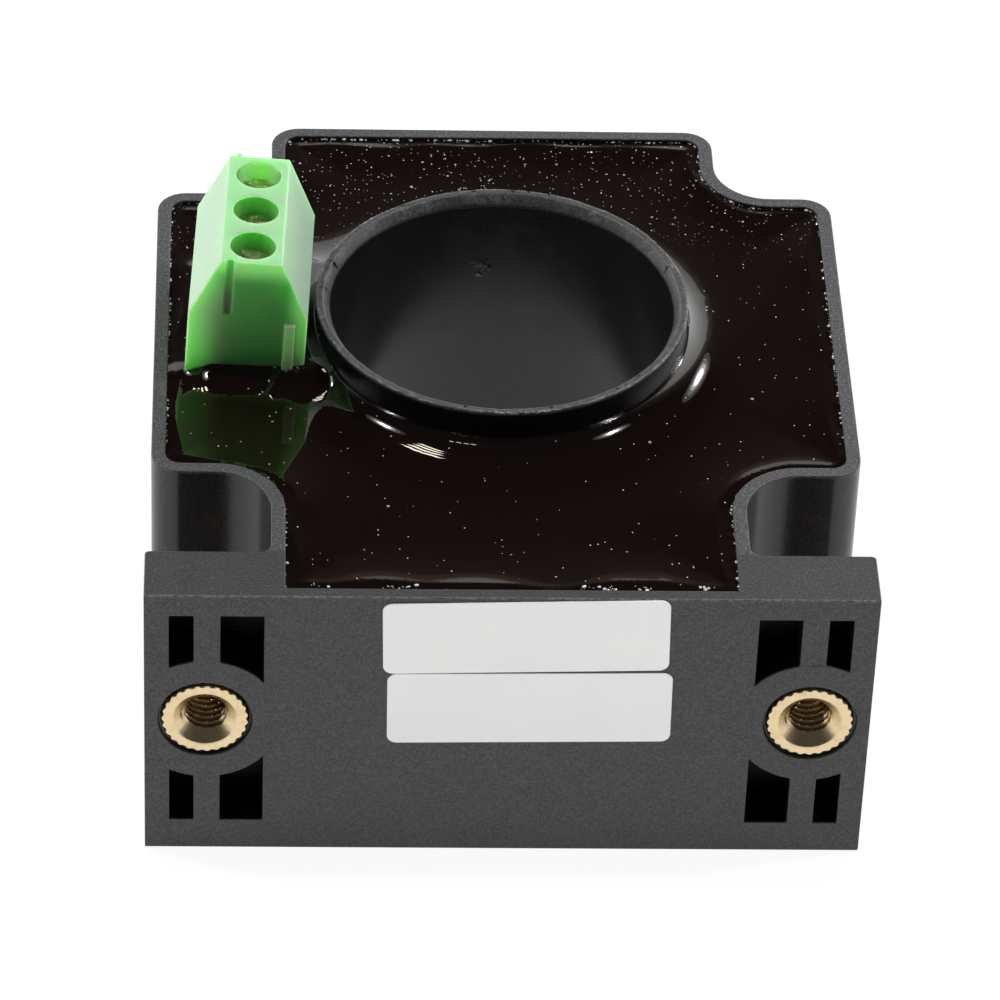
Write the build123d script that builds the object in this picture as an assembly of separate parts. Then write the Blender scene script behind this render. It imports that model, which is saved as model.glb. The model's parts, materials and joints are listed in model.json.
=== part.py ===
from build123d import *
import os
from math import radians, sin

# A Hall effect current sensor. Millimetres, +Z up. The origin lies on the axis of the
# aperture, in the flat bottom of the housing. The mounting plate faces -Y, and the open
# side of the housing, filled with resin, faces +Z.

# Housing. The aperture's size drives it: the arms keep clear of the tube, and the span
# follows from the terminal block, which stands between the tube and the left wall
bore_radius = 14.73
wall = 1.2
tube_to_arm = 3.77
body_height = 27.4
tube_rise = 3.5
mouth_width = 0.55
mouth_depth = 0.9
tip_radius = 2.5
notch_radius = 4.75

# Mounting plate
notch_gap = 10.4
plate_thickness = 5.8
plate_edge_radius = 0.4
plate_root_radius = 1.0

# Threaded inserts and the bosses that hold them
insert_to_arm = 5.3
insert_to_edge = 5.0
insert_radius = 3.6
insert_recess = 0.05
thread_radius = 1.65
countersink_radius = 2.65
countersink_depth = 0.9
insert_waist_radius = 3.2
insert_waist_length = 1.4
lead_in_width = 0.3
lead_in_depth = 0.5
boss_radius = 6.3

# Cored pockets round each boss
pocket_skin = 1.2
pocket_web_top = 2.15
pocket_web_bottom = 3.15
inboard_pocket = (1.25, 4.8)
outboard_pocket = (0.95, 2.95)

# Labels on the mounting plate: centre across, centre below the plate's top, turn in degrees
label_width = 23.45
label_height = 7.45
label_thickness = 0.1
label_corner_radius = 0.8
label_upper_place = (1.2, 4.04, 1.4)
label_lower_place = (1.7, 11.65, 0.8)

# Resin
potting_depth_below_rim = 0.3
tube_meniscus = 1.3
tube_meniscus_reach = 3.0
meniscus_hollow = 0.3
block_meniscus = 0.9
block_meniscus_lip = 0.15
meniscus_root = 0.5

# Magnetic core, with the Hall element in its air gap
core_clearance = 1.27
core_radial_width = 7.3
core_headroom = 3.4
air_gap = 3.0
hall_size = (1.6, 4.2, 3.4)
hall_lead = 0.45
hall_lead_count = 4
hall_lead_pitch = 1.0

# Circuit board
board_thickness = 1.6
board_below_rim = 2.2
board_clearance = 0.5
lead_stub = 1.0

# Parts on the underside of the board: width, length, height
chip_size = (3.9, 4.9, 1.5)
chip_leg_count = 4
chip_leg_pitch = 1.27
chip_leg = (1.0, 0.42, 0.25)
regulator_size = (4.5, 2.5, 1.5)
regulator_tab = (1.8, 1.0, 0.4)
diode_size = (4.3, 2.6, 2.2)
trimmer_size = (6.6, 6.6, 4.8)
trimmer_rotor = (1.5, 0.6, 0.5)
supply_can_radius = 3.15
supply_can_height = 7.0
filter_can_radius = 2.5
filter_can_height = 5.4
chip_part_size = (2.0, 1.25, 0.7)
chip_part_pitch = 2.6
part_gap = 0.5
resistor_count = 5
ceramic_count = 4

# Terminal block, in its own axes: u across it, v along its poles, w up from its base
pole_count = 3
pole_pitch = 5.08
block_width = 10.1
block_shoulder = 8.1
well_wall = 0.65
screw_sink = 1.75
block_base = 2.0
block_to_tube = 0.82
block_to_wall = 1.65
block_y = 1.2
block_yaw = -2.5
block_lean = 2.9
block_rib_width = 0.94
block_rib_proud = 0.45
block_rib_short = 0.4
block_slot_width = 0.64
block_slot_depth = 0.4
block_joint_clearance = 0.05
low_rib_at = 3.6
high_slot_at = -1.78

# Wire clamps, contact bars and screws
clamp_length = 5.2
clamp_width = 3.7
clamp_base = 0.7
clamp_side = 0.55
clamp_nut_height = 1.2
clamp_lift_off = 0.2
clamp_clearance = 0.1
wire_room = 2.6
clamp_travel = 2.4
bar_thickness = 0.6
bar_clearance = 0.1
pin_leg_thickness = 0.7
pin_leg_gap = 0.3
pin_tail_width = 1.0
wire_entry_width = 3.6
wire_entry_height = 3.9
wire_entry_lift = 0.2
screw_head_radius = 1.85
screw_head_height = 1.5
screw_shank_radius = 1.2
screw_slot_width = 0.6
screw_slot_depth = 0.7
screw_slot_turns = (-48, -12, -38)
head_clearance = 0.07
thread_clearance = 0.05
ledge_thickness = 0.5
ledge_clearance = 0.1

# Places that follow from the sizes above
tube_outer_radius = bore_radius + wall
arm_width = 2 * (tube_outer_radius + tube_to_arm)
body_span = 2 * (tube_outer_radius + block_to_tube + block_width + block_to_wall + wall)
tube_height = body_height + tube_rise
plate_back = -(arm_width / 2 + notch_gap)
plate_front = plate_back - plate_thickness
insert_place = arm_width / 2 + insert_to_arm
insert_height = (body_height + pocket_web_bottom - pocket_web_top) / 2
pocket_reach = (body_height - pocket_web_bottom - pocket_web_top) / 2
plate_width = 2 * (insert_place + insert_to_edge)
potting_level = body_height - potting_depth_below_rim
core_inner_radius = tube_outer_radius + core_clearance
core_outer_radius = core_inner_radius + core_radial_width
core_middle_radius = (core_inner_radius + core_outer_radius) / 2
board_top = body_height - board_below_rim
board_bottom = board_top - board_thickness
core_top = board_bottom - supply_can_height - core_headroom
hall_top = (wall + core_top + hall_size[2]) / 2
arm_middle = (tube_outer_radius + body_span / 2 - wall) / 2

# Heights inside the terminal block
clamp_bottom = block_base + clamp_lift_off
clamp_floor = clamp_bottom + clamp_base
bar_bottom = clamp_floor + wire_room
bar_top = bar_bottom + bar_thickness
nut_bottom = bar_top + bar_clearance
clamp_top = nut_bottom + clamp_nut_height
cavity_top = clamp_top + clamp_travel + clamp_clearance
ledge_top = cavity_top + ledge_thickness
head_bottom = ledge_top + thread_clearance
head_top = head_bottom + screw_head_height
block_height = head_top + screw_sink
block_top_width = 2 * (screw_head_radius + head_clearance + well_wall)
block_length = pole_count * pole_pitch
pole_places = [(i - (pole_count - 1) / 2) * pole_pitch for i in range(pole_count)]
clamp_inner_v = clamp_width / 2 - clamp_side
bar_half = clamp_inner_v - bar_clearance
pin_inner_face = clamp_length / 2 + pin_leg_gap
pin_outer_face = pin_inner_face + pin_leg_thickness

# The block leans, so it stands on one lower edge, and its base is lifted to match
block_lift = block_width / 2 * sin(radians(block_lean))
block_x = -(tube_outer_radius + block_to_tube + block_width / 2)
block_tilt = Rot(0, 0, block_yaw) * Rot(0, block_lean, 0)
block_place = Pos(block_x, block_y, board_top + block_lift) * block_tilt


def slab(x0, x1, y0, y1, z0, z1):
    """A box between two corners."""
    middle = Pos((x0 + x1) / 2, (y0 + y1) / 2, (z0 + z1) / 2)
    return middle * Box(x1 - x0, y1 - y0, z1 - z0)


def post(radius, z0, z1):
    """An upright round bar between two heights."""
    return Pos(0, 0, (z0 + z1) / 2) * Cylinder(radius, z1 - z0)


def near(a, b):
    return abs(a - b) < 1e-5


def plus_outline(inset, front):
    """The plus shape pulled in by inset, with its front arm carried on to front."""
    half_span = body_span / 2 - inset
    half_arm = arm_width / 2 - inset
    wings = Rectangle(2 * half_span, 2 * half_arm)
    spine = Pos(0, (front + half_span) / 2) * Rectangle(2 * half_arm, half_span - front)
    plus = wings + spine
    tips = [v for v in plus.vertices() if near(abs(v.X), half_span) or near(v.Y, half_span)]
    plus = fillet(tips, tip_radius - inset)
    corners = [v for v in plus.vertices() if near(abs(v.X), half_arm) and near(abs(v.Y), half_arm)]
    return fillet(corners, notch_radius + inset)


def housing_outline():
    """The plus shape joined to the mounting plate, seen from above."""
    plate = Pos(0, (plate_front + plate_back) / 2) * Rectangle(plate_width, plate_thickness)
    outline = plus_outline(0, plate_back) + plate
    roots = [v for v in outline.vertices() if near(v.Y, plate_back) and near(abs(v.X), arm_width / 2)]
    outline = fillet(roots, plate_root_radius)
    edges = [v for v in outline.vertices() if near(v.Y, plate_back) and near(abs(v.X), plate_width / 2)]
    return fillet(edges, plate_edge_radius)


def insert_plane(side):
    """The plate's front face at one insert, with +Z pointing into the plate."""
    middle = (side * insert_place, plate_front, insert_height)
    return Plane(origin=middle, x_dir=(1, 0, 0), z_dir=(0, 1, 0))


def pocket_outline(side):
    """Four cored pockets, cut back by the round boss between them."""
    outline = Sketch()
    for reach, toward in ((inboard_pocket, -side), (outboard_pocket, side)):
        outline += Pos(toward * sum(reach) / 2, 0) * Rectangle(reach[1] - reach[0], 2 * pocket_reach)
    return outline - Circle(boss_radius)


def make_housing():
    """The moulding: floor, walls, aperture tube, mounting plate and insert bosses."""
    solid = extrude(housing_outline(), body_height)
    solid -= Pos(0, 0, wall) * extrude(plus_outline(wall, plate_front + wall), body_height)
    solid += post(tube_outer_radius, 0, tube_height)
    solid -= post(bore_radius, -1, tube_height + 1)
    mouth = Cone(bore_radius, bore_radius + mouth_width, mouth_depth)
    solid -= Pos(0, 0, tube_height - mouth_depth / 2) * mouth
    for side in (-1, 1):
        face = insert_plane(side)
        solid -= extrude(face * pocket_outline(side), plate_thickness - pocket_skin)
        solid -= extrude(face * Circle(insert_radius), plate_thickness)
        solid -= extrude(face * Circle(insert_radius + lead_in_width), lead_in_depth)
    return solid


def make_insert(side):
    """A brass insert with a waist that the plastic grips, a threaded bore and a countersink."""
    face = insert_plane(side)
    length = plate_thickness - insert_recess
    waist_middle = plate_thickness / 2
    solid = extrude(face.offset(insert_recess) * Circle(insert_radius), length)
    cone_end = insert_recess + countersink_depth
    mouth = face.offset(insert_recess) * Circle(countersink_radius)
    throat = face.offset(cone_end) * Circle(thread_radius)
    solid -= loft([mouth, throat])
    solid -= extrude(face.offset(insert_recess) * Circle(thread_radius), length)
    ring = Circle(insert_radius) - Circle(insert_waist_radius)
    waist = extrude(face.offset(waist_middle - insert_waist_length / 2) * ring, insert_waist_length)
    return solid - waist


def make_label(place):
    """A thin paper sticker on the plate's front face."""
    across, below, turn = place
    face = Plane(origin=(across, plate_front, body_height - below), x_dir=(1, 0, 0), z_dir=(0, -1, 0))
    sheet = RectangleRounded(label_width, label_height, label_corner_radius)
    return extrude(face * (Rot(0, 0, turn) * sheet), label_thickness)


def make_core():
    """A strip-wound ring round the tube, cut through on the +X side by the air gap."""
    ring = post(core_outer_radius, wall, core_top) - post(core_inner_radius, 0, core_top + 1)
    gap = slab(0, core_outer_radius + 1, -air_gap / 2, air_gap / 2, 0, core_top + 1)
    return ring - gap


def make_hall_element():
    """The Hall element's flat body, standing in the middle of the air gap."""
    thickness, width, height = hall_size
    low = core_middle_radius - width / 2
    return slab(low, low + width, -thickness / 2, thickness / 2, hall_top - height, hall_top)


def make_hall_leads():
    """Four straight leads from the element's top edge through the board."""
    half = hall_lead / 2
    leads = []
    for i in range(hall_lead_count):
        x = core_middle_radius + (i - (hall_lead_count - 1) / 2) * hall_lead_pitch
        leads.append(slab(x - half, x + half, -half, half, hall_top, board_top + lead_stub / 2))
    return leads


def under_board(x, y, width, length, height):
    """A part that hangs from the board's underside."""
    return Pos(x, y, board_bottom - height / 2) * Box(width, length, height)


def beside_row(count, reach):
    """How far out from the middle a part of that reach clears a row of small parts."""
    return ((count - 1) * chip_part_pitch + chip_part_size[0]) / 2 + part_gap + reach


def make_chip():
    """An eight-leg chip: moulded body with flat legs out to both sides."""
    width, length, height = chip_size
    reach, leg_width, leg_height = chip_leg
    x, y = arm_middle, arm_width / 4
    solid = under_board(x, y, width, length, height)
    for i in range(chip_leg_count):
        along = y + (i - (chip_leg_count - 1) / 2) * chip_leg_pitch
        solid += under_board(x, along, width + 2 * reach, leg_width, leg_height)
    return solid


def make_regulator():
    """A voltage regulator with three tabs and a wide one opposite."""
    width, length, height = regulator_size
    tab_width, tab_reach, tab_height = regulator_tab
    x, y = arm_middle, -arm_width / 4
    solid = under_board(x, y, width, length, height)
    solid += under_board(x, y + (length + tab_reach) / 2, tab_width, tab_reach, tab_height)
    for i in (-1, 0, 1):
        place = x + i * width / 3
        solid += under_board(place, y - (length + tab_reach) / 2, tab_width / 4, tab_reach, tab_height)
    return solid


def make_diode():
    width, length, height = diode_size
    y = -arm_width / 4 - regulator_size[1] / 2 - regulator_tab[1] - part_gap - length / 2
    return under_board(arm_middle, y, width, length, height)


def make_trimmer(side):
    """A square trimmer whose slotted rotor faces down, away from the board."""
    width, length, height = trimmer_size
    rotor_radius, slot_width, rise = trimmer_rotor
    x, y = side * beside_row(resistor_count, width / 2), -arm_middle
    bottom = board_bottom - height
    half = slot_width / 2
    solid = under_board(x, y, width, length, height)
    solid += Pos(x, y) * post(rotor_radius, bottom - rise, bottom)
    slot = slab(-rotor_radius, rotor_radius, -half, half, bottom - rise, bottom - rise / 2)
    return solid - Pos(x, y) * slot


def make_can(radius, height, side):
    """An electrolytic capacitor: a plain can that hangs from the board."""
    x = side * beside_row(ceramic_count, radius)
    return Pos(x, arm_middle) * post(radius, board_bottom - height, board_bottom)


def make_chip_parts(count, y):
    """A row of small leadless parts, each a body with two bright end caps in one block."""
    width, length, height = chip_part_size
    row = []
    for i in range(count):
        x = (i - (count - 1) / 2) * chip_part_pitch
        row.append(under_board(x, y, width, length, height))
    return row


def block_profile():
    """The block's end view, from base to narrow top."""
    low = block_width / 2
    high = block_top_width / 2
    right = [(low, 0), (low, block_shoulder), (high, block_height)]
    left = [(-u, w) for u, w in reversed(right)]
    return Plane.XZ * make_face(Polyline(*right, *left, close=True))


def block_envelope():
    """The block with its end ribs, before the poles are cut out."""
    solid = extrude(block_profile(), block_length / 2, both=True)
    end = block_length / 2
    tip = end + block_rib_proud
    low = block_rib_width / 2
    high = block_slot_width / 2 - block_joint_clearance
    solid += slab(low_rib_at - low, low_rib_at + low, -tip, -end, 0, block_shoulder - block_rib_short)
    return solid + slab(high_slot_at - high, high_slot_at + high, end, tip, block_shoulder, block_height)


def make_block():
    """The green moulding: tongue-and-slot ends, screw wells, clamp chambers and wire entries."""
    solid = block_envelope()
    end = block_length / 2
    bottom = end - block_slot_depth
    high = block_slot_width / 2
    low = block_rib_width / 2 + block_joint_clearance
    solid -= slab(high_slot_at - high, high_slot_at + high, -end, -bottom, block_shoulder, block_height)
    solid -= slab(low_rib_at - low, low_rib_at + low, bottom, end, 0, block_shoulder)
    chamber_u = clamp_length / 2 + clamp_clearance
    chamber_v = clamp_width / 2 + clamp_clearance
    entry_v = wire_entry_width / 2
    entry_bottom = clamp_floor + wire_entry_lift
    entry_top = entry_bottom + wire_entry_height
    for v in pole_places:
        pole = Pos(0, v, 0)
        solid -= pole * post(screw_head_radius + head_clearance, ledge_top, block_height + 1)
        solid -= pole * post(screw_shank_radius + ledge_clearance, cavity_top - 1, ledge_top + 1)
        solid -= pole * slab(-chamber_u, chamber_u, -chamber_v, chamber_v, block_base, cavity_top)
        solid -= pole * slab(0, pin_outer_face, -bar_half, bar_half, block_base, bar_top)
        solid -= pole * slab(pin_inner_face, pin_outer_face, -bar_half, bar_half, -1, block_base)
        solid -= pole * slab(-block_width, 0, -entry_v, entry_v, entry_bottom, entry_top)
    return solid


def make_clamp():
    """A wire clamp: a square loop whose threaded top the screw drives up."""
    half_u, half_v = clamp_length / 2, clamp_width / 2
    solid = slab(-half_u, half_u, -half_v, half_v, clamp_bottom, clamp_top)
    solid -= slab(-half_u, half_u, -clamp_inner_v, clamp_inner_v, clamp_floor, nut_bottom)
    return solid - post(screw_shank_radius + thread_clearance, nut_bottom - 1, clamp_top + 1)


def make_pin():
    """A contact bar that runs through the clamp, turns down and ends as a solder pin."""
    inner, outer = pin_inner_face, pin_outer_face
    solid = slab(-clamp_length / 2 + bar_clearance, outer, -bar_half, bar_half, bar_bottom, bar_top)
    solid += slab(inner, outer, -bar_half, bar_half, 0, bar_top)
    tail_end = -(board_thickness + block_lift + lead_stub)
    return solid + slab(inner, outer, -pin_tail_width / 2, pin_tail_width / 2, tail_end, 0)


def make_screw(turn):
    """A slotted cheese-head screw that stays at one height in the block, its slot turned."""
    solid = post(screw_head_radius, head_bottom, head_top)
    solid += post(screw_shank_radius, bar_top + thread_clearance, head_bottom)
    half = screw_slot_width / 2
    reach = screw_head_radius
    slot = slab(-reach, reach, -half, half, head_top - screw_slot_depth, head_top)
    return solid - Rot(0, 0, turn) * slot


def tube_meniscus_ring():
    """Resin drawn up round the tube in a hollow slope."""
    inner = tube_outer_radius
    outer = inner + tube_meniscus_reach
    top = potting_level + tube_meniscus
    root = potting_level - meniscus_root
    hollow = (inner + meniscus_hollow * tube_meniscus_reach, potting_level + meniscus_hollow * tube_meniscus)
    profile = Polyline((outer, potting_level), hollow, (inner, top), (inner, root), (outer, root), close=True)
    return revolve(Plane.XZ * make_face(profile), Axis.Z)


def block_meniscus_skirt():
    """Resin drawn up round the foot of the terminal block."""
    turned = Pos(block_x, block_y) * Rot(0, 0, block_yaw)
    levels = []
    for spread, rise in ((block_meniscus, 0), (block_meniscus_lip, block_meniscus)):
        foot = Rectangle(block_width + 2 * spread, block_length + 2 * spread)
        levels.append(Pos(0, 0, potting_level + rise) * turned * foot)
    return loft(levels)


def make_potting(sunk):
    """The cast resin: the housing's inside, less everything that is sunk in it."""
    inside = plus_outline(wall, plate_front + wall)
    solid = extrude(Pos(0, 0, wall) * inside, potting_level - wall)
    solid += tube_meniscus_ring()
    solid += block_meniscus_skirt()
    solid -= post(tube_outer_radius, 0, tube_height + 1)
    for piece in sunk:
        solid -= piece
    return solid


def make_board(leads):
    """The circuit board: a smaller plus with a hole for the tube, drilled for each lead."""
    inset = wall + board_clearance
    outline = plus_outline(inset, inset - body_span / 2)
    solid = extrude(Pos(0, 0, board_bottom) * outline, board_thickness)
    solid -= post(tube_outer_radius + board_clearance, 0, tube_height)
    for lead in leads:
        solid -= lead
    return solid


pins = [block_place * Pos(0, v, 0) * make_pin() for v in pole_places]
hall_leads = make_hall_leads()
board = make_board(pins + hall_leads)
row_y = arm_middle - 2 * chip_part_size[1]
resistors = make_chip_parts(resistor_count, -row_y)
ceramics = make_chip_parts(ceramic_count, row_y)

parts = {
    "housing": make_housing(),
    "threaded_insert_left": make_insert(-1),
    "threaded_insert_right": make_insert(1),
    "label_upper": make_label(label_upper_place),
    "label_lower": make_label(label_lower_place),
    "magnetic_core": make_core(),
    "hall_element": make_hall_element(),
    "hall_element_leads": Compound(children=hall_leads),
    "circuit_board": board,
    "amplifier_chip": make_chip(),
    "voltage_regulator": make_regulator(),
    "polarity_diode": make_diode(),
    "offset_trimmer": make_trimmer(-1),
    "gain_trimmer": make_trimmer(1),
    "supply_capacitor": make_can(supply_can_radius, supply_can_height, -1),
    "filter_capacitor": make_can(filter_can_radius, filter_can_height, 1),
    "resistors": Compound(children=resistors),
    "ceramic_capacitors": Compound(children=ceramics),
}
inner_names = ["magnetic_core", "hall_element", "circuit_board", "amplifier_chip", "voltage_regulator"]
inner_names += ["polarity_diode", "offset_trimmer", "gain_trimmer", "supply_capacitor", "filter_capacitor"]
sunk = [parts[name] for name in inner_names]
sunk += hall_leads + resistors + ceramics + pins + [block_place * block_envelope()]
parts["potting_compound"] = make_potting(sunk)
parts["terminal_block"] = block_place * make_block()
for number, v in enumerate(pole_places, start=1):
    pole = block_place * Pos(0, v, 0)
    slot_turn = screw_slot_turns[(number - 1) % len(screw_slot_turns)]
    parts[f"terminal_pin_{number}"] = pins[number - 1]
    parts[f"wire_clamp_{number}"] = pole * make_clamp()
    parts[f"terminal_screw_{number}"] = pole * make_screw(slot_turn)

os.makedirs("parts", exist_ok=True)
for name, shape in parts.items():
    export_step(shape, f"parts/{name}.step")
    print(name, round(shape.volume, 2))
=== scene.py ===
# %% [markdown]
# # A Hall effect current sensor
# The real sensor is a black moulded box in the shape of a plus. A tube through its middle takes the
# conductor, and a mounting plate runs along one side. An iron ring and a small circuit board lie in the
# box, and dark resin is poured over them up to the rim. Only the green terminal block stands out of it.
# This lesson loads the engineering model as a fixed frame and gives each piece its looks. Where the
# engineering mesh is too plain, a finer mesh stands in for it at the same place.

# %% Load the engineering model
import json
import math

import bmesh
import bpy
import numpy as np
from mathutils import Euler, Matrix, Quaternion, Vector, geometry, noise


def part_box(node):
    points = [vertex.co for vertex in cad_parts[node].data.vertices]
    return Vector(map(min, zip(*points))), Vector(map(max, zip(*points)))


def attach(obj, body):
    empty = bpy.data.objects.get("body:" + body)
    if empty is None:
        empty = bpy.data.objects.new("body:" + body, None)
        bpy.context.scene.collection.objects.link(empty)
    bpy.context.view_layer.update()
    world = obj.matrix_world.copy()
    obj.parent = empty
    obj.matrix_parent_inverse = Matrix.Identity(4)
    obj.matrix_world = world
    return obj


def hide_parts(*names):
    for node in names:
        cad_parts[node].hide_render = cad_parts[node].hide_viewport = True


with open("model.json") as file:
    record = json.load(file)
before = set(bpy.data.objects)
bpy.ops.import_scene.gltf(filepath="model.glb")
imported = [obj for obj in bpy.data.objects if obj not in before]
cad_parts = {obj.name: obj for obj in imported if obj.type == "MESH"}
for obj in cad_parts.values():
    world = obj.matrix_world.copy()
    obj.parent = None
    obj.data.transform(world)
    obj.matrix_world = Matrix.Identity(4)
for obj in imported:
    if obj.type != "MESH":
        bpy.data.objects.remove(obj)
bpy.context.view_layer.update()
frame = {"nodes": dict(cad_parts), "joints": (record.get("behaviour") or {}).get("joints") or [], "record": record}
nodes = frame["nodes"]

# %% [markdown]
# ## Sizes that several pieces share
# Blender works in metres here, as the frame does, so a millimetre gets a name of its own. Whatever the
# frame can tell is asked of it: the box of the housing gives the plate's front, the back wall and the
# tube's rim, and the record gives the bore. The few sizes that a box can't give are written once, in this
# cell.

# %% Measure the housing
mm = 0.001
housing_low, housing_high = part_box("housing")
mounts = {m["name"]: m for m in frame["record"]["mounts"]}
bore_radius = mounts["aperture"]["dims"]["r_mm"] * mm
wall = 1.2 * mm
tube_radius = bore_radius + wall
tube_top = housing_high.z
plate_front = housing_low.y
half_span = housing_high.y
half_arm = 19.7 * mm
tip_radius = 2.5 * mm
notch_radius = 4.75 * mm
rim = 27.4 * mm
resin_level = rim - 0.55 * mm
plate_thickness = 5.8 * mm
print("plate front", plate_front, "back wall", half_span, "tube top", tube_top)

# %% [markdown]
# ## Where the terminal block stands
# The block leans a little and is turned a little, as it set in the resin. Its screws turn about axes that
# the frame records, so three unit vectors from those axes rebuild the block's own directions: u across it,
# v along its poles and w upwards.

# %% Work out the block's axes
screw_joints = [j for j in frame["joints"] if j["type"] == "hinge"]
screw_tops = [Vector(j["pos_m"]) for j in screw_joints]
block_w = -Vector(screw_joints[0]["axis"]).normalized()
block_v = (screw_tops[-1] - screw_tops[0]).normalized()
block_u = block_v.cross(block_w)
screw_top_height = 11.95 * mm
block_width, block_length = 10.1 * mm, 15.24 * mm
block_origin = screw_tops[1] - block_w * screw_top_height


def block_point(u, v, w):
    """A point given in the block's own directions, in metres."""
    return block_origin + block_u * u + block_v * v + block_w * w


print("block stands at", block_origin)

# %% [markdown]
# ## Ways to write nodes
# Materials and the room are trees of nodes, and three small classes keep them short. A Value is a number
# somewhere in a tree, so a formula of nodes reads like a formula: * keeps what two masks share, | keeps the
# larger of two values, and a ramp turns a length into a mask.

# %% Numbers in a node tree
class Value:
    """A number in a node tree, which formulas can be written with."""

    def __init__(self, tree, socket):
        self.tree, self.socket = tree, socket

    def math(self, operation, *others):
        return self.tree.value("Math", self, *others, operation=operation)

    def __add__(self, other):
        return self.math("ADD", other)

    def __sub__(self, other):
        return self.math("SUBTRACT", other)

    def __mul__(self, other):
        return self.math("MULTIPLY", other)

    def __or__(self, other):
        return self.math("MAXIMUM", other)

    def __abs__(self):
        return self.math("ABSOLUTE")

    def hypot(self, other):
        """The distance from an axis, from two distances at right angles to it."""
        return (self * self + other * other).math("SQRT")

    def rings(self, width):
        """A wave from -1 to 1 that repeats each width."""
        return (self * (2 * math.pi / width)).math("SINE")

    def ramp(self, low, high):
        """0 below low, 1 above high, and a smooth rise between."""
        ends = {"From_Min": low, "From_Max": high}
        return self.tree.value("MapRange", interpolation_type="SMOOTHSTEP", Value=self, **ends)

    def mix(self, first, second):
        """The first colour where this is 0, the second where it is 1, and a blend between."""
        made = self.tree.node("Mix", data_type="RGBA")
        for key, value in (("Factor", self), (6, first), (7, second)):
            self.tree.feed(made.inputs[key], value)
        return made.outputs[2]


# %% [markdown]
# A Tree adds a node in one line and connects whatever it is given. A Finish is the tree of a material and
# starts from Blender's Principled shader. Patterns use the object's own coordinates, which are metres, so
# the scale of a noise is one over the size of its grains.

# %% Node trees and finishes
class Tree:
    """A node tree and short ways to add to it."""

    def __init__(self, tree, coordinates):
        self.tree = tree
        self.place = self.node("TexCoord").outputs[coordinates]

    def feed(self, socket, value):
        """Links a value to a socket, or sets it as a constant."""
        value = value.socket if isinstance(value, Value) else value
        if isinstance(value, bpy.types.NodeSocket):
            self.tree.links.new(value, socket)
        else:
            socket.default_value = (*value, 1) if socket.type == "RGBA" else value

    def node(self, kind, *values, **settings):
        """A new node: values go to its sockets in order, settings to its attributes or named sockets."""
        made = self.tree.nodes.new("ShaderNode" + kind)
        for name, value in settings.items():
            if name[0].islower():
                setattr(made, name, value)
            else:
                self.feed(made.inputs[name.replace("_", " ")], value)
        for socket, value in zip(made.inputs, values):
            self.feed(socket, value)
        return made

    def value(self, kind, *values, output=0, **settings):
        return Value(self, self.node(kind, *values, **settings).outputs[output])

    def axes(self):
        """The place on the surface, or the direction in the room, as three values."""
        return [Value(self, socket) for socket in self.node("SeparateXYZ", self.place).outputs]


class Finish(Tree):
    """A material in the making."""

    def __init__(self, name, colour, roughness, **sockets):
        self.material = bpy.data.materials.new(name)
        self.material.use_nodes = True
        super().__init__(self.material.node_tree, "Object")
        self.shader = self.tree.nodes["Principled BSDF"]
        self.colour = colour
        self.set(Base_Color=colour, Roughness=roughness, **sockets)

    def set(self, **sockets):
        for name, value in sockets.items():
            self.feed(self.shader.inputs[name.replace("_", " ")], value)

    def noise(self, grain, detail=2.0, place=None):
        """Noise whose grains are about that size, from 0 to 1."""
        place = place or self.place
        return self.value("TexNoise", Vector=place, Scale=1 / grain, Detail=detail, output="Fac")

    def specks(self, spacing, size, share):
        """Scattered dots: one place in each cell, of which only a share shows."""
        cells = self.node("TexVoronoi", Vector=self.place, Scale=1 / spacing).outputs
        pick, shade = [self.value("SeparateColor", cells["Color"], output=i) for i in (0, 1)]
        reach = Value(self, cells["Distance"]) * (spacing / size)
        dot = reach.math("DIVIDE", self.noise(0.5 * size) * 0.8 + 0.6).ramp(0.6, 0.4)
        return dot * (pick.math("GREATER_THAN", 1 - share) * (shade * 0.7 + 0.3))

    def bump(self, height, depth):
        """Raises the surface by a height from 0 to 1 times a depth in metres."""
        self.set(Normal=self.node("Bump", Height=height, Distance=depth, Strength=1.0).outputs["Normal"])


print("a value can", [w for w in dir(Value) if not w.startswith("_")])

# %% [markdown]
# ## The camera
# A long lens from far away keeps the box's edges nearly parallel. The place and the turn were solved from
# the edges and corners of the real sensor, so they are given as they came out.

# %% Place the camera
scene = bpy.context.scene
camera_data = bpy.data.cameras.new("camera")
camera_data.lens = 212.1055
camera_data.sensor_width = 36
camera = bpy.data.objects.new("camera", camera_data)
camera.location = Vector((-21.992, -402.471, 333.605)) * mm
camera.rotation_euler = Euler([math.radians(a) for a in (51.1046, -1.9303, -1.6493)])
scene.collection.objects.link(camera)
scene.camera = camera
scene.view_settings.view_transform = "Standard"
print("camera", round(camera.location.length / mm), "mm from the origin")

# %% [markdown]
# ## Light
# The resin is a black mirror, so the light is planned for what it reflects. Behind the table and at its
# sides stands a white screen, brightest at the sides. It ends at about 29 degrees, in a brown ledge, and
# above it the room is dark: that keeps the flat resin black and puts a grey glow where the resin curves up
# at a wall. The side behind the camera is dark as well, which makes the front of the terminal block deeper
# in colour than its top.

# %% Build the room
room_strength = 3.0
world = bpy.data.worlds.new("room")
scene.world = world
world.use_nodes = True
room = Tree(world.node_tree, "Generated")
x, y, z = room.axes()
screen = room.node("ValToRGB", z)
at_side = abs(x).ramp(0.15, 0.6)
lit = room.node("VectorMath", screen.outputs[0], operation="SCALE", Scale=at_side * 0.4 + 0.6).outputs[0]
background = room.tree.nodes["Background"]
room.feed(background.inputs["Color"], y.ramp(-0.32, 0.08).mix((0.02, 0.02, 0.02), lit))
background.inputs["Strength"].default_value = room_strength

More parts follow.
